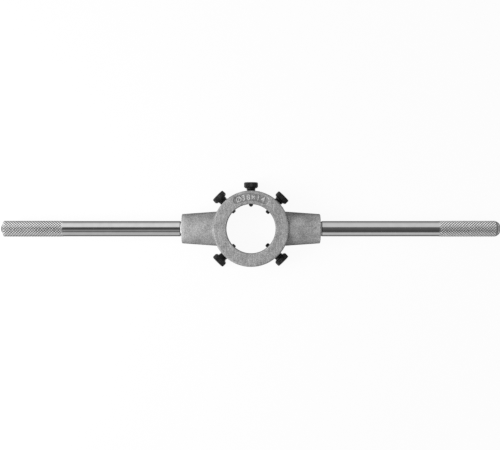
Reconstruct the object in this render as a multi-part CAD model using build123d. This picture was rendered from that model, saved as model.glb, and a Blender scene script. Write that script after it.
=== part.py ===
from build123d import *
import os
from itertools import pairwise
from math import radians, tan

# Die stock handle for round dies, lying on the rim of its die seat.
# The origin is where the die's axis crosses the arms' axis, +Z points out of the back face,
# +X runs along the right arm and +Y points to the spreading screw. All sizes are in millimetres.

# Die seat and ring
seat_diameter = 38.0
seat_depth = 13.0
seat_mouth_chamfer = 0.6
bore_diameter = 32.0
web_thickness = 11.0
ring_wall = 5.5
ring_edge_chamfer = 0.7

# Curved size panel, a shallow recess in the back face
panel_land = 2.0
panel_width = 4.6
panel_depth = 0.4
panel_span = 53.0
panel_centre_angle = 90.0

# Bosses, which taper towards the arms
boss_length = 20.5
boss_root_diameter = 22.0
boss_end_diameter = 19.1
boss_edge_chamfer = 0.5

# Arms, screwed into the bosses
arm_diameter = 10.0
arm_free_length = 117.5
arm_thread_diameter = 10.0
arm_thread_length = 18.0
arm_thread_chamfer = 0.7
thread_clearance = 0.05
mouth_chamfer = 0.5
arm_end_length = 1.5
arm_end_flat_diameter = 4.2

# Diamond knurling at the arms' outer ends
knurl_length = 39.1
knurl_crest_diameter = 10.4
knurl_depth = 0.5
knurl_pitch = 2.2
knurl_diamonds_round = 14

# Screws that hold and set the die
screw_diameter = 6.0
screw_hole_clearance = 0.05
screw_below_shoulder = 6.8
screw_length = 16.0
head_diameter = 9.2
head_height = 3.8
head_outer_chamfer = 0.45
head_inner_chamfer = 0.8
head_teeth = 24
head_tooth_depth = 0.25
slot_width = 1.2
slot_depth = 1.3

# Dog points: a sharp one on the spreading screw, and blunt ones on the other four
dog_diameter = 2.8
dog_length = 3.4
sharp_flat_diameter = 1.0
blunt_flat_diameter = 1.8
dog_half_angle = 45.0

# Each screw's direction, the gap under its head at rest, and how its slot is turned from level
screws = {
    "spreading_screw": {"angle": 90.0, "gap": 2.2, "turn": 12.0, "flat": sharp_flat_diameter},
    "pressure_screw_right": {"angle": 45.0, "gap": 2.3, "turn": -21.0, "flat": blunt_flat_diameter},
    "pressure_screw_left": {"angle": 135.0, "gap": 2.9, "turn": 7.0, "flat": blunt_flat_diameter},
    "holding_screw_left": {"angle": 225.0, "gap": 2.8, "turn": 25.0, "flat": blunt_flat_diameter},
    "holding_screw_right": {"angle": 315.0, "gap": 2.1, "turn": -10.0, "flat": blunt_flat_diameter},
}

# Places worked out from the sizes above
ring_height = seat_depth + web_thickness
back_z = ring_height / 2
rim_z = -ring_height / 2
shoulder_z = rim_z + seat_depth
seat_radius = seat_diameter / 2
bore_radius = bore_diameter / 2
ring_radius = seat_radius + ring_wall
boss_end_x = ring_radius + boss_length
thread_end_x = boss_end_x - arm_thread_length
arm_tip_x = boss_end_x + arm_free_length
knurl_end_x = arm_tip_x - arm_end_length
knurl_start_x = knurl_end_x - knurl_length
screw_z = shoulder_z - screw_below_shoulder
screw_hole_radius = screw_diameter / 2 + screw_hole_clearance


def turned(points, axis=Axis.X):
    """A solid of revolution whose half section is a closed line through the points."""
    plane = Plane.XY if axis == Axis.X else Plane.XZ
    return revolve(plane * make_face(Polyline(*points, close=True)), axis)


def faceted(stations):
    """A closed solid of flat facets through rings of points, one ring at each station along +X.

    Each station is (x, radii), with the radii taken evenly round the X axis. Each four-sided
    patch between two rings is split along its lower diagonal, so that grooves run true.
    """
    rings = []
    for x, radii in stations:
        count = len(radii)
        rings.append([Vector(x, r, 0).rotate(Axis.X, 360 * i / count) for i, r in enumerate(radii)])
    facets = [Face(Wire.make_polygon(ring)) for ring in (rings[0], rings[-1])]
    for (near, near_radii), (far, far_radii) in pairwise(zip(rings, (r for _, r in stations))):
        for i in range(count):
            j = (i + 1) % count
            a, b, c, d = near[i], near[j], far[j], far[i]
            along_ac = near_radii[i] + far_radii[j] <= near_radii[j] + far_radii[i]
            halves = ((a, b, c), (a, c, d)) if along_ac else ((a, b, d), (b, c, d))
            facets += [Face(Wire.make_polygon(half)) for half in halves]
    return Solid(Shell(facets))


def ring_blank():
    """The ring as a disc with its two outer edges broken."""
    blank = Cylinder(ring_radius, ring_height)
    return chamfer(blank.edges().filter_by(GeomType.CIRCLE), ring_edge_chamfer)


def boss_blank():
    """The right boss, a cone along +X that starts inside the ring's wall."""
    taper = (boss_root_diameter - boss_end_diameter) / 2 / boss_length
    start_radius = boss_root_diameter / 2 + taper * ring_wall
    end_radius = boss_end_diameter / 2
    return turned(
        [
            (seat_radius, 0),
            (seat_radius, start_radius),
            (boss_end_x - boss_edge_chamfer, end_radius + taper * boss_edge_chamfer),
            (boss_end_x, end_radius - boss_edge_chamfer),
            (boss_end_x, 0),
        ]
    )


def arm_hole():
    """The tapped hole in the right boss, with its mouth broken."""
    thread_radius = arm_thread_diameter / 2 + thread_clearance
    mouth_radius = thread_radius + mouth_chamfer
    return turned(
        [
            (thread_end_x, 0),
            (thread_end_x, thread_radius),
            (boss_end_x - mouth_chamfer, thread_radius),
            (boss_end_x, mouth_radius),
            (boss_end_x + mouth_chamfer, mouth_radius),
            (boss_end_x + mouth_chamfer, 0),
        ]
    )


def seat_and_bore():
    """What is turned out of the ring: the seat from below and the bore through the web."""
    return turned(
        [
            (0, rim_z - seat_mouth_chamfer),
            (seat_radius + 2 * seat_mouth_chamfer, rim_z - seat_mouth_chamfer),
            (seat_radius, rim_z + seat_mouth_chamfer),
            (seat_radius, shoulder_z),
            (bore_radius, shoulder_z),
            (bore_radius, back_z + seat_mouth_chamfer),
            (0, back_z + seat_mouth_chamfer),
        ],
        Axis.Z,
    )


def panel_recess():
    """The curved recess with rounded ends in the back face."""
    middle_radius = bore_radius + panel_land + panel_width / 2
    first_angle = panel_centre_angle - panel_span / 2
    middle_line = CenterArc((0, 0), middle_radius, first_angle, panel_span)
    outline = Plane.XY.offset(back_z - panel_depth) * SlotArc(middle_line, panel_width)
    return extrude(outline, 2 * panel_depth)


def screw_hole(angle):
    """One tapped hole through the ring's wall."""
    hole = Rot(0, 90, 0) * Cylinder(screw_hole_radius, 2 * ring_wall)
    return Rot(0, 0, angle) * Pos(seat_radius + ring_wall / 2, 0, screw_z) * hole


def make_stock_body():
    """The casting: ring and two bosses in one piece."""
    boss = boss_blank()
    body = ring_blank() + boss + boss.rotate(Axis.Z, 180)
    body -= seat_and_bore()
    body -= panel_recess()
    hole = arm_hole()
    body -= [hole, hole.rotate(Axis.Z, 180)]
    body -= [screw_hole(screw["angle"]) for screw in screws.values()]
    return body


def threaded_end():
    """The arm's threaded end, seated on the floor of its hole."""
    thread_radius = arm_thread_diameter / 2
    return turned(
        [
            (thread_end_x, 0),
            (thread_end_x, thread_radius - arm_thread_chamfer),
            (thread_end_x + arm_thread_chamfer, thread_radius),
            (boss_end_x, thread_radius),
            (boss_end_x, 0),
        ]
    )


def knurled_end():
    """Rows of raised diamonds between crossing grooves, run in at both ends, and the bevelled tip."""
    crest = knurl_crest_diameter / 2
    valley = crest - knurl_depth
    diamonds = round(knurl_diamonds_round)
    points_round = 2 * diamonds
    rows = 2 * round(knurl_length / knurl_pitch)
    stations = [(knurl_start_x, [valley] * points_round)]
    for row in range(1, rows):
        pair = [crest, valley] if row % 2 else [valley, crest]
        stations.append((knurl_start_x + knurl_length * row / rows, pair * diamonds))
    stations.append((knurl_end_x, [valley] * points_round))
    stations.append((arm_tip_x, [arm_end_flat_diameter / 2] * points_round))
    return faceted(stations)


def make_arm():
    """The right arm: threaded end, plain shaft, knurling and bevelled tip."""
    shaft_length = knurl_start_x - boss_end_x
    shaft_middle = (knurl_start_x + boss_end_x) / 2
    shaft = Pos(shaft_middle, 0, 0) * Rot(0, 90, 0) * Cylinder(arm_diameter / 2, shaft_length)
    return threaded_end() + shaft + knurled_end()


def screw_head():
    """The head with straight knurling, both edges chamfered, and a slot. Its outer face is at x = 0."""
    crest = head_diameter / 2
    root = crest - head_tooth_depth
    outer = crest - head_outer_chamfer
    inner = crest - head_inner_chamfer
    teeth = [crest, root] * head_teeth
    head = faceted(
        [
            (-head_height, [inner] * len(teeth)),
            (-head_height + head_inner_chamfer, teeth),
            (-head_outer_chamfer, teeth),
            (0, [outer] * len(teeth)),
        ]
    )
    slot = Pos(-slot_depth / 2, 0, 0) * Box(slot_depth, 2 * head_diameter, slot_width)
    return head - slot


def screw_shank(flat_diameter):
    """Threaded length and dog point, from the head's inner face at x = -head_height."""
    thread_radius = screw_diameter / 2
    dog_radius = dog_diameter / 2
    flat_radius = flat_diameter / 2
    tip_x = -screw_length
    dog_start_x = tip_x + dog_length
    cone_length = (dog_radius - flat_radius) / tan(radians(dog_half_angle))
    return turned(
        [
            (-head_height, 0),
            (-head_height, thread_radius),
            (dog_start_x, thread_radius),
            (dog_start_x, dog_radius),
            (tip_x + cone_length, dog_radius),
            (tip_x, flat_radius),
            (tip_x, 0),
        ]
    )


def make_screw(angle, gap, turn, flat):
    """One screw in its hole, with its axis through the die seat's axis."""
    screw = screw_head() + screw_shank(flat)
    head_outer = ring_radius + gap + head_height
    return Rot(0, 0, angle) * Pos(head_outer, 0, screw_z) * Rot(turn, 0, 0) * screw


right_arm = make_arm()
parts = {
    "stock_body": make_stock_body(),
    "right_arm": right_arm,
    "left_arm": right_arm.rotate(Axis.Z, 180),
}
for name, screw in screws.items():
    parts[name] = make_screw(**screw)

os.makedirs("parts", exist_ok=True)
for name, shape in parts.items():
    export_step(shape, f"parts/{name}.step")
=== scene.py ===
import math
from itertools import product

import bpy
import numpy as np
from mathutils import Matrix, Vector


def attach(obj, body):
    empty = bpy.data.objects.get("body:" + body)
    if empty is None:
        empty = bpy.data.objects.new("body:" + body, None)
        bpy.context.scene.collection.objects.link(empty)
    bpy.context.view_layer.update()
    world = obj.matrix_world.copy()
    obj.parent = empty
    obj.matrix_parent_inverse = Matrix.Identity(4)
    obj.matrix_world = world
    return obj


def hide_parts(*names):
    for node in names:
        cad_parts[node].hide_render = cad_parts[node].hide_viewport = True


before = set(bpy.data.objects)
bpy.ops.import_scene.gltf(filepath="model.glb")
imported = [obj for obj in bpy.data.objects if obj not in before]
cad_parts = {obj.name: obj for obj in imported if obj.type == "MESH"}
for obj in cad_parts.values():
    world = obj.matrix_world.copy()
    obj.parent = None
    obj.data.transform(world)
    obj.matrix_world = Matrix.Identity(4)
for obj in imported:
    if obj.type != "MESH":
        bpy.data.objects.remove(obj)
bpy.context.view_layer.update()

MM = 0.001

# Sizes of the solids, in millimetres
SEAT_RADIUS = 19.0
BORE_RADIUS = 16.0
RING_RADIUS = 24.5
HALF_HEIGHT = 12.0
SHOULDER_Z = 1.0
MOUTH_CHAMFER = 0.6
PANEL_RADIUS = 20.3
PANEL_HALF_WIDTH = 2.3
PANEL_HALF_SPAN = math.radians(26.5)
PANEL_FLOOR_Z = 11.6
BOSS_ROOT_RADIUS = 11.0
BOSS_END_RADIUS = 9.55
BOSS_START_X = 20.5
BOSS_END_X = 45.0
ARM_HOLE_RADIUS = 5.05
ARM_HOLE_CHAMFER = 0.5
THREAD_END_X = 27.0
THREAD_END_CHAMFER = 0.7
ARM_RADIUS = 5.0
KNURL_START_X = 121.9
KNURL_END_X = 161.0
ARM_TIP_X = 162.5
SCREW_Z = -5.8
SCREW_HOLE_RADIUS = 3.05
SCREW_HOLE_START = 10.0

# How widely the casting's edges are rounded, in millimetres
RING_EDGE = 1.3
BOSS_EDGE = 0.5
BOSS_FILLET = 0.9
SEAT_EDGE = 0.4
BORE_EDGE = 0.6
PANEL_FLOOR_EDGE = 0.3
PANEL_RIM_EDGE = 0.35
ARM_HOLE_EDGE = 0.2
SCREW_HOLE_EDGE = 0.4

# The bars' fine form: diamonds with flat tops, and a thread that runs out at the boss
KNURL_PITCH = 1.8
DIAMONDS_ROUND = 16
KNURL_CREST = 5.12
KNURL_DEPTH = 0.34
DIAMOND_SLOPE = 2.3
DIAMOND_TOP = 0.92
DIAMOND_EDGE = 0.2
ARM_THREAD_PITCH = 1.5
ARM_THREAD_DEPTH = 0.5
ARM_THREAD_LEAST = 0.35
RUN_OUT_BEFORE = 0.3
RUN_OUT_AFTER = 1.3
FADE_IN_LENGTH = 0.2
FADE_OUT_LENGTH = 0.5
SHAFT_MIDDLE_X = 84.0
RUN_OUT_RINGS = 18
KNURL_RINGS = 262
BAR_END_RINGS = 15
POINTS_PER_DIAMOND = 12

# How the bars end, as places along them and radii there: the right one rounder than the left
RIGHT_END = ((159.2, 160.2, 161.2, 161.8, 162.2, 162.5), (5.05, 4.7, 4.1, 3.5, 2.8, 2.1))
LEFT_END = ((161.0, 161.2, 161.8, 161.9, 162.4, 162.5), (5.05, 4.8, 2.7, 2.3, 2.2, 2.1))

# The screws' fine form, each along X with the head's outer face at 0
HEAD_TEETH = 32
HEAD_RADIUS = 4.6
HEAD_HEIGHT = 3.8
HEAD_EDGE = 0.15
HEAD_OUTER_CHAMFER = 0.45
HEAD_INNER_CHAMFER = 0.8
TOOTH_DEPTH = 0.3
TOOTH_SLOPE = 1.3
TOOTH_TOP = 0.95
TOOTH_EDGE = 0.3
POINTS_PER_TOOTH = 4
SLOT_DEPTH = 1.3
SLOT_HALF_WIDTH = 0.61
SCREW_LENGTH = 16.0
DOG_LENGTH = 3.4
DOG_RADIUS = 1.4
DOG_START_X = -SCREW_LENGTH + DOG_LENGTH
THREAD_PITCH = 1.0
THREAD_ROOT = 2.42
THREAD_DEPTH = 0.57
THREAD_SLOPE = 1.35
THREAD_FLOOR = 0.1
THREAD_LEAD_RADIUS = 2.1
THREAD_RINGS = 80
NECK_LENGTH = 1.0
NECK_RADIUS = 2.95
NECK_TAPER = 0.4

# Each screw's direction and slot turn in degrees, gap under the head at rest, and tip flat's radius
SCREWS = {
    "spreading_screw": (90.0, 12.0, 2.2, 0.5),
    "pressure_screw_right": (45.0, -21.0, 2.3, 0.9),
    "pressure_screw_left": (135.0, 7.0, 2.9, 0.9),
    "holding_screw_left": (225.0, 25.0, 2.8, 0.9),
    "holding_screw_right": (315.0, -10.0, 2.1, 0.9),
}

# Size numerals, 38 across by 14 thick, raised on the panel's floor and rooted a little below it
NUMERALS = "\u00d838\u00d714"
NUMERAL_HEIGHT = 3.4
NUMERAL_PITCH = math.radians(9.0)
NUMERAL_BASE_Z = 11.5
NUMERAL_TOP_Z = 11.93
NUMERAL_EDGE = 0.16
STROKE_WIDENING = 0.13
CAPITAL_SHARE_OF_FONT_SIZE = 0.7

# A turned mesh is shaded smooth over edges that bend less than this
SHARP_ANGLE = math.radians(38)


# Mesh helpers

def new_object(name, data):
    """A new object in the scene."""
    thing = bpy.data.objects.new(name, data)
    bpy.context.scene.collection.objects.link(thing)
    return thing


def evaluated_mesh(thing):
    """A new mesh of an object as its modifiers or its text make it."""
    depsgraph = bpy.context.evaluated_depsgraph_get()
    return bpy.data.meshes.new_from_object(thing.evaluated_get(depsgraph))


def add_piece(name, points, faces, body, material, stands_for=(), normals=None):
    """A mesh piece on a body, from points in millimetres.

    It is shaded by its normals, or else smooth with sharp edges.
    """
    mesh = bpy.data.meshes.new(name)
    mesh.from_pydata((np.asarray(points) * MM).tolist(), [], faces)
    mesh.polygons.foreach_set("use_smooth", [True] * len(mesh.polygons))
    if normals is None:
        mesh.set_sharp_from_angle(angle=SHARP_ANGLE)
    else:
        mesh.normals_split_custom_set_from_vertices(normals.tolist())
    mesh.materials.append(material)
    piece = new_object(name, mesh)
    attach(piece, body)
    if stands_for:
        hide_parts(*stands_for)
    return piece


def lathe(stations, radius_at, around):
    """Points and faces of a closed solid round X, with radius_at(x, angle) at each station."""
    angles = np.arange(around) * 2 * math.pi / around
    x, angle = np.meshgrid(np.asarray(stations), angles, indexing="ij")
    radius = radius_at(x, angle)
    points = np.stack([x, radius * np.cos(angle), radius * np.sin(angle)], axis=-1)
    ring = np.arange(around)
    next_in_ring = np.roll(ring, -1)
    starts = np.arange(len(stations) - 1)[:, None] * around
    corners = [starts + ring, starts + next_in_ring]
    corners += [corners[1] + around, corners[0] + around]
    faces = np.stack(corners, axis=-1).reshape(-1, 4).tolist()
    faces.append(ring[::-1].tolist())
    faces.append(((len(stations) - 1) * around + ring).tolist())
    return points.reshape(-1, 3), faces


def soft_min(a, b, width):
    """The lesser of two numbers, rounded where they differ by less than the width."""
    return np.minimum(a, b) - np.maximum(width - np.abs(a - b), 0) ** 2 / (4 * width)


def soft_max(a, b, width):
    """The greater of two numbers, rounded where they differ by less than the width."""
    return -soft_min(-a, -b, width)


def wave(turns):
    """Rises from 0 at whole numbers to 1 half way between them."""
    return 1 - np.abs(2 * (turns - np.floor(turns)) - 1)


def slope(field, points):
    """The field's gradient at the points, by small differences."""
    reach = 0.02
    parts = []
    for axis in range(3):
        offset = np.zeros(3)
        offset[axis] = reach
        parts.append((field(points + offset) - field(points - offset)) / (2 * reach))
    return np.stack(parts, axis=-1)


def surface_net(field, axes):
    """The surface where a field is zero, as points, faces and normals.

    It has a point in each cell of the grid that it crosses, and a face round each edge of one.
    """
    tiny = 1e-9
    value = field(np.stack(np.meshgrid(*axes, indexing="ij"), axis=-1))
    shape = np.array(value.shape) - 1
    corners = list(product((0, 1), repeat=3))
    blocks = [value[i:shape[0] + i, j:shape[1] + j, k:shape[2] + k] for i, j, k in corners]
    inside = sum((block < 0).astype(int) for block in blocks)
    cells = np.argwhere((inside > 0) & (inside < 8))
    number = np.full(shape, -1)
    number[tuple(cells.T)] = np.arange(len(cells))

    # Each point starts at the mean of the places where the surface crosses its cell's edges
    at_corner = np.stack([block[tuple(cells.T)] for block in blocks], axis=-1)
    total = np.zeros((len(cells), 3))
    count = np.zeros(len(cells))
    for a, b in product(range(8), repeat=2):
        start, end = np.array(corners[a]), np.array(corners[b])
        if a >= b or np.abs(end - start).sum() != 1:
            continue
        crossed = (at_corner[:, a] < 0) != (at_corner[:, b] < 0)
        share = at_corner[:, a][crossed] / (at_corner[:, a] - at_corner[:, b])[crossed]
        total[crossed] += start + share[:, None] * (end - start)
        count[crossed] += 1
    base = np.stack([axis[cell] for axis, cell in zip(axes, cells.T)], axis=-1)
    size = np.stack([np.diff(axis)[cell] for axis, cell in zip(axes, cells.T)], axis=-1)
    points = base + size * total / count[:, None]

    # Then it moves on to the surface in small steps, and not past the flat faces
    longest = 0.4 * size
    for _ in range(3):
        gradient = slope(field, points)
        steepness = (gradient ** 2).sum(axis=1)[:, None] + tiny
        move = field(points)[:, None] * gradient / steepness
        points -= np.clip(move, -longest, longest)
    points[:, 2] = np.clip(points[:, 2], -HALF_HEIGHT, HALF_HEIGHT)

    faces = []
    for axis in range(3):
        second, third = (axis + 1) % 3, (axis + 2) % 3
        here = [slice(None)] * 3
        there = [slice(None)] * 3
        here[axis], there[axis] = slice(0, -1), slice(1, None)
        low_in, high_in = value[tuple(here)] < 0, value[tuple(there)] < 0
        for flag, order in ((low_in & ~high_in, 1), (~low_in & high_in, -1)):
            edges = np.argwhere(flag)
            round_edge = []
            for j, k in ((-1, -1), (0, -1), (0, 0), (-1, 0))[::order]:
                cell = edges.copy()
                cell[:, second] += j
                cell[:, third] += k
                round_edge.append(number[tuple(cell.T)])
            faces += np.stack(round_edge, axis=-1).tolist()
    gradient = slope(field, points)
    normals = gradient / (np.linalg.norm(gradient, axis=1)[:, None] + tiny)
    return points, faces, normals


def grid_axis(spans):
    """Grid places through spans of (end, spacing) from the first number on."""
    places = [spans[0]]
    for end, spacing in spans[1:]:
        count = max(1, round((end - places[-1]) / spacing))
        places += list(np.linspace(places[-1], end, count + 1)[1:])
    return np.array(places)


# Shapes

def casting_field(points):
    """About the distance in millimetres from the casting's surface, negative inside it."""
    x, y, z = points[..., 0], points[..., 1], points[..., 2]
    radius = np.hypot(x, y)
    reach = np.abs(x)
    from_arm_axis = np.hypot(y, z)

    # Ring and bosses
    ring = soft_max(radius - RING_RADIUS, np.abs(z) - HALF_HEIGHT, RING_EDGE)
    taper = (BOSS_ROOT_RADIUS - BOSS_END_RADIUS) / (BOSS_END_X - RING_RADIUS)
    flank = from_arm_axis - BOSS_ROOT_RADIUS + taper * (reach - RING_RADIUS)
    boss = soft_max(flank, reach - BOSS_END_X, BOSS_EDGE)
    boss = np.maximum(boss, BOSS_START_X - reach)
    body = soft_min(ring, boss, BOSS_FILLET)

    # Seat, its broken mouth and the bore
    body = soft_max(body, np.minimum(SEAT_RADIUS - radius, SHOULDER_Z - z), SEAT_EDGE)
    mouth = (SEAT_RADIUS + MOUTH_CHAMFER - radius - z - HALF_HEIGHT) / math.sqrt(2)
    body = soft_max(body, mouth, SEAT_EDGE)
    body = soft_max(body, BORE_RADIUS - radius, BORE_EDGE)

    # Curved size panel
    end_x = math.sin(PANEL_HALF_SPAN) * PANEL_RADIUS
    end_y = math.cos(PANEL_HALF_SPAN) * PANEL_RADIUS
    beside = np.abs(np.arctan2(x, y)) < PANEL_HALF_SPAN
    from_end = np.hypot(reach - end_x, y - end_y)
    from_arc = np.where(beside, np.abs(radius - PANEL_RADIUS), from_end)
    recess = soft_max(from_arc - PANEL_HALF_WIDTH, PANEL_FLOOR_Z - z, PANEL_FLOOR_EDGE)
    body = soft_max(body, -recess, PANEL_RIM_EDGE)

    # Holes for the arms and the screws
    hole = np.maximum(from_arm_axis - ARM_HOLE_RADIUS, THREAD_END_X - reach)
    body = np.maximum(body, -hole)
    mouth = (ARM_HOLE_RADIUS + ARM_HOLE_CHAMFER - from_arm_axis + reach - BOSS_END_X) / math.sqrt(2)
    body = soft_max(body, mouth, ARM_HOLE_EDGE)
    for angle, _, _, _ in SCREWS.values():
        c, s = math.cos(math.radians(angle)), math.sin(math.radians(angle))
        across = np.hypot(c * y - s * x, z - SCREW_Z)
        hole = np.maximum(across - SCREW_HOLE_RADIUS, SCREW_HOLE_START - c * x - s * y)
        body = soft_max(body, -hole, SCREW_HOLE_EDGE)
    return body


def bar_radius(x, angle, end):
    """A bar's radius: the lead of its thread, the thread's run-out, the shaft, knurling and end."""
    along = (x - KNURL_START_X) / KNURL_PITCH
    around = angle * DIAMONDS_ROUND / (2 * math.pi)
    pyramid = np.minimum(wave(along + around), wave(along - around))
    flat_top = np.full_like(pyramid, DIAMOND_TOP)
    diamond = soft_min(pyramid * DIAMOND_SLOPE, flat_top, DIAMOND_EDGE)
    knurl = KNURL_CREST + KNURL_DEPTH * (diamond - DIAMOND_TOP)
    gripped = ARM_RADIUS + (knurl - ARM_RADIUS) * np.clip(along, 0, 1)
    radius = np.where(x > KNURL_START_X, gripped, ARM_RADIUS)
    radius = np.where(x > end[0][0], np.minimum(radius, np.interp(x, *end)), radius)

    fade_out = np.clip((BOSS_END_X + RUN_OUT_AFTER - x) / FADE_OUT_LENGTH, 0, 1)
    fade_in = np.clip((x - BOSS_END_X + RUN_OUT_BEFORE) / FADE_IN_LENGTH, 0, 1)
    groove = wave(x / ARM_THREAD_PITCH - angle / (2 * math.pi))
    groove = ARM_THREAD_LEAST + (1 - ARM_THREAD_LEAST) * groove
    radius = radius - ARM_THREAD_DEPTH * (fade_out * fade_in) * groove
    lead = np.clip((THREAD_END_X + THREAD_END_CHAMFER - x) / THREAD_END_CHAMFER, 0, 1)
    return radius - THREAD_END_CHAMFER * lead


def bar_mesh(end):
    """Points and faces of the right bar with one of the two ends."""
    run_out = (BOSS_END_X - RUN_OUT_BEFORE, BOSS_END_X + RUN_OUT_AFTER + 0.1)
    stations = [THREAD_END_X, THREAD_END_X + THREAD_END_CHAMFER]
    stations += list(np.linspace(*run_out, RUN_OUT_RINGS))
    stations += [SHAFT_MIDDLE_X, KNURL_START_X - 0.01]
    stations += list(np.linspace(KNURL_START_X, KNURL_END_X, KNURL_RINGS))
    stations += list(np.linspace(KNURL_END_X + 0.1, ARM_TIP_X, BAR_END_RINGS))
    around = POINTS_PER_DIAMOND * DIAMONDS_ROUND
    return lathe(stations, lambda x, angle: bar_radius(x, angle, end), around)


def screw_radius(x, angle):
    """A screw's radius: toothed head, plain neck, thread and dog, before its point is bevelled."""
    tooth = wave(angle * HEAD_TEETH / (2 * math.pi)) * TOOTH_SLOPE
    tooth = soft_min(tooth, np.full_like(x, TOOTH_TOP), TOOTH_EDGE)
    head = HEAD_RADIUS - TOOTH_DEPTH * (1 - tooth)
    head = soft_min(head, HEAD_RADIUS - HEAD_OUTER_CHAMFER - x, HEAD_EDGE)
    head = soft_min(head, HEAD_RADIUS - HEAD_INNER_CHAMFER + x + HEAD_HEIGHT, HEAD_EDGE)

    ridge = wave(x / THREAD_PITCH - angle / (2 * math.pi))
    ridge = np.clip(ridge * THREAD_SLOPE - THREAD_FLOOR, 0, 1)
    thread = THREAD_ROOT + THREAD_DEPTH * ridge
    thread = np.minimum(thread, THREAD_LEAD_RADIUS + (x - DOG_START_X))
    neck = np.clip((x + HEAD_HEIGHT + NECK_LENGTH) / NECK_TAPER, 0, 1)
    thread = thread + neck * (NECK_RADIUS - thread)
    shank = np.where(x > DOG_START_X, thread, DOG_RADIUS)
    return np.where(x > -HEAD_HEIGHT, head, shank)


def screw_mesh(flat_radius):
    """Points and faces of a screw with a flat of that radius on its tip, before its slot is cut."""
    step = 1e-4
    bevel = DOG_RADIUS - flat_radius
    dog = [-SCREW_LENGTH, -SCREW_LENGTH + bevel, DOG_START_X - step]
    thread = list(np.linspace(DOG_START_X + step, -HEAD_HEIGHT - step, THREAD_RINGS))
    head = [-HEAD_HEIGHT + step, -3.6, -3.4, -3.2, -3.0, -2.8, -0.7, -0.5, -0.35, -0.2, -0.1, 0]

    def radius_at(x, angle):
        return np.minimum(screw_radius(x, angle), flat_radius + x + SCREW_LENGTH)

    return lathe(dog + thread + head, radius_at, POINTS_PER_TOOTH * HEAD_TEETH)


def cut_slot(piece):
    """Cuts the screwdriver slot across the head of a screw along X."""
    # The cutter reaches past the head wherever the slot is open
    along, across, between = (-SLOT_DEPTH, 1.0), (-6, 6), (-SLOT_HALF_WIDTH, SLOT_HALF_WIDTH)
    points = np.array(list(product(along, across, between)))
    faces = [(0, 1, 3, 2), (4, 6, 7, 5), (0, 4, 5, 1), (2, 3, 7, 6), (0, 2, 6, 4), (1, 5, 7, 3)]
    mesh = bpy.data.meshes.new("slot_cutter")
    mesh.from_pydata((points * MM).tolist(), [], faces)
    cutter = new_object("slot_cutter", mesh)
    # The teeth's four-sided faces aren't flat, and uncut into triangles they leave slivers
    piece.modifiers.new("flat_faces", "TRIANGULATE")
    cut = piece.modifiers.new("slot", "BOOLEAN")
    cut.object = cutter
    cut.solver = "EXACT"
    result = evaluated_mesh(piece)
    piece.modifiers.clear()
    piece.data = result
    bpy.data.objects.remove(cutter)


def glyph_outline(sign):
    """Outline segments of one plain character, centred, as pairs of points in millimetres."""
    curve = bpy.data.curves.new("numeral", "FONT")
    curve.body = sign
    curve.size = NUMERAL_HEIGHT / CAPITAL_SHARE_OF_FONT_SIZE
    curve.resolution_u = 4
    holder = new_object("numeral", curve)
    mesh = evaluated_mesh(holder)
    bpy.data.objects.remove(holder)
    bpy.data.curves.remove(curve)
    faces_at = {}
    for face in mesh.polygons:
        for key in face.edge_keys:
            faces_at[key] = faces_at.get(key, 0) + 1
    place = np.array([v.co[:2] for v in mesh.vertices])
    bpy.data.meshes.remove(mesh)
    outline = [key for key, count in faces_at.items() if count == 1]
    segments = np.array([[place[a], place[b]] for a, b in outline])
    low, high = segments.min(axis=(0, 1)), segments.max(axis=(0, 1))
    return segments - (low + high) / 2


def numeral_segments():
    """All the characters along the panel's arc, each with its top outwards."""
    found = []
    for i, sign in enumerate(NUMERALS):
        angle = ((len(NUMERALS) - 1) / 2 - i) * NUMERAL_PITCH
        c, s = math.cos(angle), math.sin(angle)
        turn = np.array([[c, -s], [s, c]])
        found.append((glyph_outline(sign) + (0, PANEL_RADIUS)) @ turn.T)
    return np.concatenate(found)


def numerals_field(segments):
    """A field like the casting's for characters with the outlines' segments."""
    start, along = segments[:, 0], segments[:, 1] - segments[:, 0]
    length = (along ** 2).sum(axis=1) + 1e-12
    middle_z = (NUMERAL_TOP_Z + NUMERAL_BASE_Z) / 2
    half_height = (NUMERAL_TOP_Z - NUMERAL_BASE_Z) / 2

    def field(points):
        flat = points.reshape(-1, 3)
        nearest = np.full(len(flat), 1e9)
        within = np.zeros(len(flat), bool)
        for (x, y), (u, v), square in zip(start, along, length):
            across, up = flat[:, 0] - x, flat[:, 1] - y
            share = np.clip((across * u + up * v) / square, 0, 1)
            nearest = np.minimum(nearest, (across - share * u) ** 2 + (up - share * v) ** 2)
            if v:
                within ^= ((up < 0) != (up < v)) & (across < up * u / v)
        edge = np.where(within, -1, 1) * np.sqrt(nearest) - STROKE_WIDENING
        height = np.abs(flat[:, 2] - middle_z) - half_height
        return soft_max(edge, height, NUMERAL_EDGE).reshape(points.shape[:-1])

    return field


# Node helpers. A grey that one takes is a socket or a number, and one it returns is a socket.

def new_tree(name):
    """A material and its empty node tree."""
    material = bpy.data.materials.new(name)
    material.use_nodes = True
    tree = material.node_tree
    tree.nodes.clear()
    return material, tree


def finish_material(material, tree, shader):
    """The material with the shader on its surface."""
    output = tree.nodes.new("ShaderNodeOutputMaterial")
    tree.links.new(shader.outputs[0], output.inputs["Surface"])
    return material


def add(tree, kind, **settings):
    """A node of a kind. A setting is an input by name, as a value or a socket, or a property."""
    node = tree.nodes.new(kind)
    for key, value in settings.items():
        name = key.replace("_", " ")
        socket = next((s for s in node.inputs if s.name.lower() == name and s.enabled), None)
        if socket is None:
            setattr(node, key, value)
        elif isinstance(value, bpy.types.NodeSocket):
            tree.links.new(value, socket)
        else:
            socket.default_value = value
    return node


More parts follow.
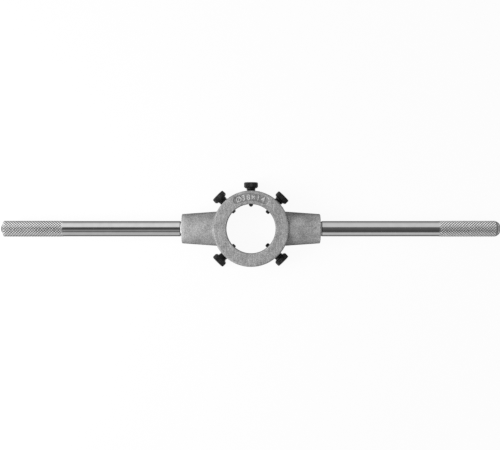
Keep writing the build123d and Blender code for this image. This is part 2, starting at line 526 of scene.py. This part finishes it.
def maths(tree, operation, first, second=0.0):
    """The result of one sum."""
    node = tree.nodes.new("ShaderNodeMath")
    node.operation = operation
    for socket, value in zip(node.inputs, (first, second)):
        if isinstance(value, bpy.types.NodeSocket):
            tree.links.new(value, socket)
        else:
            socket.default_value = value
    return node.outputs[0]


def times(tree, first, second):
    """The product of two greys."""
    return maths(tree, "MULTIPLY", first, second)


def mixed(tree, factor, first, second):
    """A grey between two."""
    spread = maths(tree, "SUBTRACT", second, first)
    return maths(tree, "ADD", first, times(tree, factor, spread))


def shaded(tree, colour, where, strength):
    """The colour, times the strength where a mask is 1."""
    return times(tree, colour, mixed(tree, where, 1.0, strength))


def step_between(tree, value, low, high):
    """Rises smoothly from 0 at low to 1 at high."""
    node = add(tree, "ShaderNodeMapRange", interpolation_type="SMOOTHSTEP", value=value)
    node.inputs["From Min"].default_value = low
    node.inputs["From Max"].default_value = high
    return node.outputs[0]


def step_mm(tree, length, low, high):
    """Rises smoothly from 0 at low to 1 at high, two lengths in millimetres."""
    return step_between(tree, length, low * MM, high * MM)


def ramp(tree, factor, stops):
    """A colour ramp of greys through (place, grey) stops."""
    node = add(tree, "ShaderNodeValToRGB", fac=factor)
    elements = node.color_ramp.elements
    while len(elements) > 1:
        elements.remove(elements[-1])
    elements[0].position = stops[0][0]
    for place, _ in stops[1:]:
        elements.new(place)
    for element, (_, grey) in zip(elements, stops):
        element.color = (grey, grey, grey, 1)
    return node.outputs[0]


def object_place(tree):
    """The place on the object, in metres."""
    return add(tree, "ShaderNodeTexCoord").outputs["Object"]


def noise(tree, scale, detail, roughness=0.5):
    """Noise that is the same size in every direction."""
    texture = add(
        tree, "ShaderNodeTexNoise", vector=object_place(tree), scale=scale, detail=detail,
        roughness=roughness,
    )
    return texture.outputs[0]


def drawn_noise(tree, scale):
    """Noise with its own scale along each axis, for fine lines across the arms."""
    stretched = add(tree, "ShaderNodeMapping", vector=object_place(tree), scale=scale)
    texture = add(tree, "ShaderNodeTexNoise", vector=stretched.outputs[0], scale=1.0, detail=2.0)
    return texture.outputs[0]


def length_of(tree, weights):
    """Distance from an axis or plane of the object, by which coordinates count."""
    chosen = add(tree, "ShaderNodeVectorMath", operation="MULTIPLY")
    tree.links.new(object_place(tree), chosen.inputs[0])
    chosen.inputs[1].default_value = weights
    measured = add(tree, "ShaderNodeVectorMath", operation="LENGTH")
    tree.links.new(chosen.outputs[0], measured.inputs[0])
    return measured.outputs["Value"]


# Materials

def cast_metal():
    """Blasted cast metal with a ground back face and pale worn edges, painted shade on the panel's
    floor, and painted highlights on the numerals' tops and towards the bosses' ends.
    """
    material, tree = new_tree("cast_metal")
    grain = noise(tree, 1000, 2, 0.6)
    fine = noise(tree, 3000, 3, 0.6)
    blotch = noise(tree, 160, 3)
    mix = mixed(tree, 0.3, mixed(tree, 0.35, grain, fine), blotch)
    colour = ramp(tree, mix, [(0.34, 0.22), (0.5, 0.38), (0.66, 0.57)])

    # Grinding lines across the back face, at 12 mm
    height = add(tree, "ShaderNodeSeparateXYZ", vector=object_place(tree)).outputs["Z"]
    on_back_face = step_mm(tree, height, 11.9, 11.98)
    ground = mixed(tree, drawn_noise(tree, (1300, 280, 280)), 0.5, 1.5)
    colour = shaded(tree, colour, on_back_face, ground)

    # Painted shade on the panel's floor, at 11.6 mm, and painted highlight on the numerals' tops,
    # at 11.93 mm
    from_axis = length_of(tree, (1, 1, 0))
    off_arc = maths(tree, "ABSOLUTE", maths(tree, "SUBTRACT", from_axis, PANEL_RADIUS * MM))
    sunk = times(tree, step_mm(tree, height, 11.85, 11.65), step_mm(tree, height, 11.3, 11.5))
    painted_shade_in_panel = times(tree, step_mm(tree, off_arc, 2.7, 2.3), sunk)
    colour = shaded(tree, colour, painted_shade_in_panel, 0.71)
    high = times(tree, step_mm(tree, height, 11.86, 11.9), step_mm(tree, height, 11.99, 11.96))
    painted_highlight_on_numerals = times(tree, high, step_mm(tree, off_arc, 2.3, 2.1))
    colour = shaded(tree, colour, painted_highlight_on_numerals, 1.45)

    # Painted highlight towards the bosses' ends, and edges worn pale
    painted_highlight_near_boss_end = step_mm(tree, length_of(tree, (1, 0, 0)), 37.5, 45.5)
    colour = shaded(tree, colour, painted_highlight_near_boss_end, 1.3)
    worn = add(tree, "ShaderNodeNewGeometry").outputs["Pointiness"]
    wear = times(tree, step_between(tree, worn, 0.53, 0.60), 0.10)
    colour = maths(tree, "ADD", colour, wear)

    pits = add(
        tree, "ShaderNodeBump", height=mixed(tree, 0.4, grain, fine), strength=0.65,
        distance=0.0003,
    )
    shader = add(
        tree, "ShaderNodeBsdfPrincipled", base_color=colour, metallic=0.2,
        roughness=mixed(tree, fine, 0.40, 0.62), normal=pits.outputs[0],
        specular_tint=(0.05, 0.05, 0.05, 1), specular_ior_level=0.0,
    )
    return finish_material(material, tree, shader)


def bright_chrome():
    """Bright plating, with a painted dark reflection at slanting angles and painted shade in the
    knurling's grooves and on the bar's tip.
    """
    material, tree = new_tree("bright_chrome")
    haze = noise(tree, 260, 3)
    # Painted reflection: a band of slanting view angles darkens the plating, giving dark lines
    # along the bars' edges
    facing = add(tree, "ShaderNodeLayerWeight", blend=0.5).outputs["Facing"]
    painted_reflection_stops = [(0.26, 1.0), (0.40, 0.62), (0.52, 0.22), (0.66, 0.22), (0.80, 0.8)]
    colour = ramp(tree, haze, [(0.3, 0.55), (0.7, 0.60)])
    colour = times(tree, colour, ramp(tree, facing, painted_reflection_stops))

    # Painted shade in the grooves and brighter crests on the grip, and painted shade on the bar's
    # tip
    along = length_of(tree, (1, 0, 0))
    painted_groove_shade = step_mm(tree, length_of(tree, (0, 1, 1)), 5.02, 4.92)
    after_start = step_mm(tree, along, KNURL_START_X, KNURL_START_X + 2)
    painted_groove_shade = times(tree, painted_groove_shade, after_start)
    painted_groove_shade = times(tree, painted_groove_shade, step_mm(tree, along, 160.4, 159.4))
    on_grip = step_mm(tree, along, KNURL_START_X, KNURL_START_X + 1)
    crest = mixed(tree, on_grip, 1.0, 1.33)
    colour = times(tree, colour, mixed(tree, painted_groove_shade, crest, 0.2))
    # Painted shade on the bar's tip, past 161.7 mm
    colour = shaded(tree, colour, step_mm(tree, along, 161.7, 161.85), 0.08)

    lines = drawn_noise(tree, (2600, 300, 300))
    turned = add(tree, "ShaderNodeBump", height=lines, strength=0.06, distance=0.00005)
    shader = add(
        tree, "ShaderNodeBsdfPrincipled", base_color=colour, metallic=1.0,
        roughness=maths(tree, "ADD", times(tree, haze, 0.06), 0.05), normal=turned.outputs[0],
        specular_tint=(0.5, 0.5, 0.5, 1),
    )
    return finish_material(material, tree, shader)


def black_oxide():
    """Satin black with patchy wear on the edges."""
    material, tree = new_tree("black_oxide")
    patch = noise(tree, 420, 4)
    worn = add(tree, "ShaderNodeNewGeometry").outputs["Pointiness"]
    edge = ramp(tree, worn, [(0.5, 0.0), (0.56, 1.0)])
    wear = times(tree, edge, ramp(tree, patch, [(0.45, 0.0), (0.65, 0.5)]))
    colour = ramp(tree, wear, [(0.0, 0.017), (1.0, 0.09)])
    skin = add(tree, "ShaderNodeBump", height=patch, strength=0.2, distance=0.00005)
    shader = add(
        tree, "ShaderNodeBsdfPrincipled", base_color=colour, metallic=0.4,
        roughness=maths(tree, "ADD", times(tree, patch, 0.2), 0.32), normal=skin.outputs[0],
    )
    return finish_material(material, tree, shader)


def white_floor():
    """A pale floor that the camera and reflections see as white, with the shadow kept."""
    material, tree = new_tree("white_floor")
    path = add(tree, "ShaderNodeLightPath").outputs
    seen = maths(tree, "MAXIMUM", path["Is Camera Ray"], path["Is Glossy Ray"])
    seen = maths(tree, "MAXIMUM", seen, path["Is Transmission Ray"])
    fleck = ramp(tree, noise(tree, 60, 2), [(0.3, 0.19), (0.7, 0.21)])
    pale = maths(tree, "ADD", fleck, times(tree, seen, 0.65))
    # Where it is seen it mostly glows, and the rest takes the shadow
    plain = add(tree, "ShaderNodeBsdfDiffuse", color=pale)
    glow = add(tree, "ShaderNodeEmission", color=(1, 1, 1, 1), strength=1.0)
    shader = tree.nodes.new("ShaderNodeMixShader")
    tree.links.new(times(tree, seen, 0.94), shader.inputs[0])
    tree.links.new(plain.outputs[0], shader.inputs[1])
    tree.links.new(glow.outputs[0], shader.inputs[2])
    material.cycles.emission_sampling = "NONE"
    return finish_material(material, tree, shader)


# Floor, light and camera

def add_floor():
    """A plain floor under the rim of the die seat."""
    size = 12.0
    z = -HALF_HEIGHT * MM
    mesh = bpy.data.meshes.new("floor")
    corners = [(-size, -size, z), (size, -size, z), (size, size, z), (-size, size, z)]
    mesh.from_pydata(corners, [], [(0, 1, 2, 3)])
    mesh.materials.append(white_floor())
    new_object("floor", mesh)


def add_world():
    """Soft boxes front and back with a dark gap overhead for reflections, and a plain sky.

    The boxes go by the angle from the zenith across the arms, in degrees.
    """
    world = bpy.data.worlds.new("studio")
    world.use_nodes = True
    tree = world.node_tree
    tree.nodes.clear()
    direction = add(tree, "ShaderNodeTexCoord").outputs["Generated"]
    parts = add(tree, "ShaderNodeSeparateXYZ", vector=direction).outputs
    tilt = maths(tree, "ARCTAN2", parts["Y"], parts["Z"])
    place = maths(tree, "ADD", maths(tree, "DIVIDE", tilt, 2 * math.pi), 0.5)

    def boxes_at(pairs):
        return ramp(tree, place, [(degrees / 360 + 0.5, grey) for degrees, grey in pairs])

    left = boxes_at([
        (-100, 0.70), (-57, 0.72), (-52, 0.13), (-43, 0.13), (-37, 0.42), (-18, 0.34),
        (-11, 0.10), (19, 0.10), (26, 1.05), (60, 1.12), (100, 0.95),
    ])
    right = boxes_at([
        (-100, 0.78), (-62, 0.78), (-56, 0.12), (-30, 0.10), (0, 0.15), (19, 0.16),
        (27, 0.90), (60, 0.94), (100, 0.85),
    ])
    # The left side turns into the right one, with a dim end on the right and a bright one left
    boxes = mixed(tree, step_between(tree, parts["X"], -0.05, 0.05), left, right)
    boxes = mixed(tree, step_between(tree, parts["X"], 0.3, 0.6), boxes, 0.35)
    boxes = mixed(tree, step_between(tree, parts["X"], -0.4, -0.75), boxes, 2.1)
    up = maths(tree, "MAXIMUM", parts["Z"], 0.0)
    sky = times(tree, maths(tree, "POWER", up, 2.8), 1.02)
    path = add(tree, "ShaderNodeLightPath").outputs
    level = mixed(tree, path["Is Diffuse Ray"], boxes, sky)
    level = mixed(tree, path["Is Camera Ray"], level, 1.0)
    glow = add(tree, "ShaderNodeBackground", color=level, strength=1.0)
    output = tree.nodes.new("ShaderNodeOutputWorld")
    tree.links.new(glow.outputs[0], output.inputs["Surface"])
    world.cycles.sampling_method = "NONE"
    bpy.context.scene.world = world


def add_key_lamp():
    """A soft lamp from the left, which reflections and the camera don't see."""
    area = bpy.data.lights.new("key", "AREA")
    area.size = 0.25
    area.energy = 1.8
    lamp = new_object("key", area)
    lamp.location = (-0.34, -0.03, 0.27)
    lamp.rotation_euler = lamp.location.to_track_quat("Z", "Y").to_euler()
    lamp.visible_glossy = False
    lamp.visible_camera = False


def add_camera():
    """Straight above the ring, framed as the photograph is."""
    width, focal_length, distance = 500, 949.5, 0.62
    right, up = -1.0, 3.7
    data = bpy.data.cameras.new("camera")
    data.sensor_width = 36.0
    data.lens = focal_length / width * data.sensor_width
    data.shift_x = right / width
    data.shift_y = up / width
    data.clip_start = 0.01
    data.clip_end = 100.0
    camera = new_object("camera", data)
    camera.location = (0, 0, distance)
    bpy.context.scene.camera = camera


# Build the pieces

cast_look = cast_metal()
chrome_look = bright_chrome()
black_look = black_oxide()
for name, node_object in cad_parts.items():
    look = cast_look if name == "stock_body" else chrome_look if "arm" in name else black_look
    node_object.data.materials.clear()
    node_object.data.materials.append(look)

coarse = 1.0
wide, close = 0.45 * coarse, 0.3 * coarse
casting_axes = [
    grid_axis([-45.7, (-11.5, wide), (11.5, close), (45.7, wide)]),
    grid_axis([-25.2, (15.5, wide), (23.5, close), (25.4, wide)]),
    grid_axis([-12.7, (11.3, wide), (12.2, 0.18 * coarse)]),
]
points, faces, normals = surface_net(casting_field, casting_axes)
add_piece("casting", points, faces, "stock", cast_look, ["stock_body"], normals)

spacing = 0.115
numeral_axes = [
    grid_axis([-11, (11, spacing)]),
    grid_axis([15.5, (23, spacing)]),
    grid_axis([11.35, (12.1, 0.1)]),
]
points, faces, normals = surface_net(numerals_field(numeral_segments()), numeral_axes)
add_piece("size_numerals", points, faces, "stock", cast_look, normals=normals)

points, faces = bar_mesh(RIGHT_END)
add_piece("right_bar", points, faces, "stock", chrome_look, ["right_arm"])
points, faces = bar_mesh(LEFT_END)
points = points * (-1, -1, 1)
add_piece("left_bar", points, faces, "stock", chrome_look, ["left_arm"])

for name, (angle, turn, gap, flat_radius) in SCREWS.items():
    head_face = Vector((RING_RADIUS + gap + HEAD_HEIGHT, 0, SCREW_Z)) * MM
    place = Matrix.Rotation(math.radians(angle), 4, "Z") @ Matrix.Translation(head_face)
    place = place @ Matrix.Rotation(math.radians(turn), 4, "X")
    points, faces = screw_mesh(flat_radius)
    piece = add_piece(name + "_detail", points, faces, name, black_look, [name])
    cut_slot(piece)
    piece.data.transform(place)

add_floor()
add_world()
add_key_lamp()
add_camera()
bpy.context.scene.view_settings.view_transform = "Standard"
# The denoiser would wipe out the knurling
bpy.context.scene.cycles.use_denoising = False
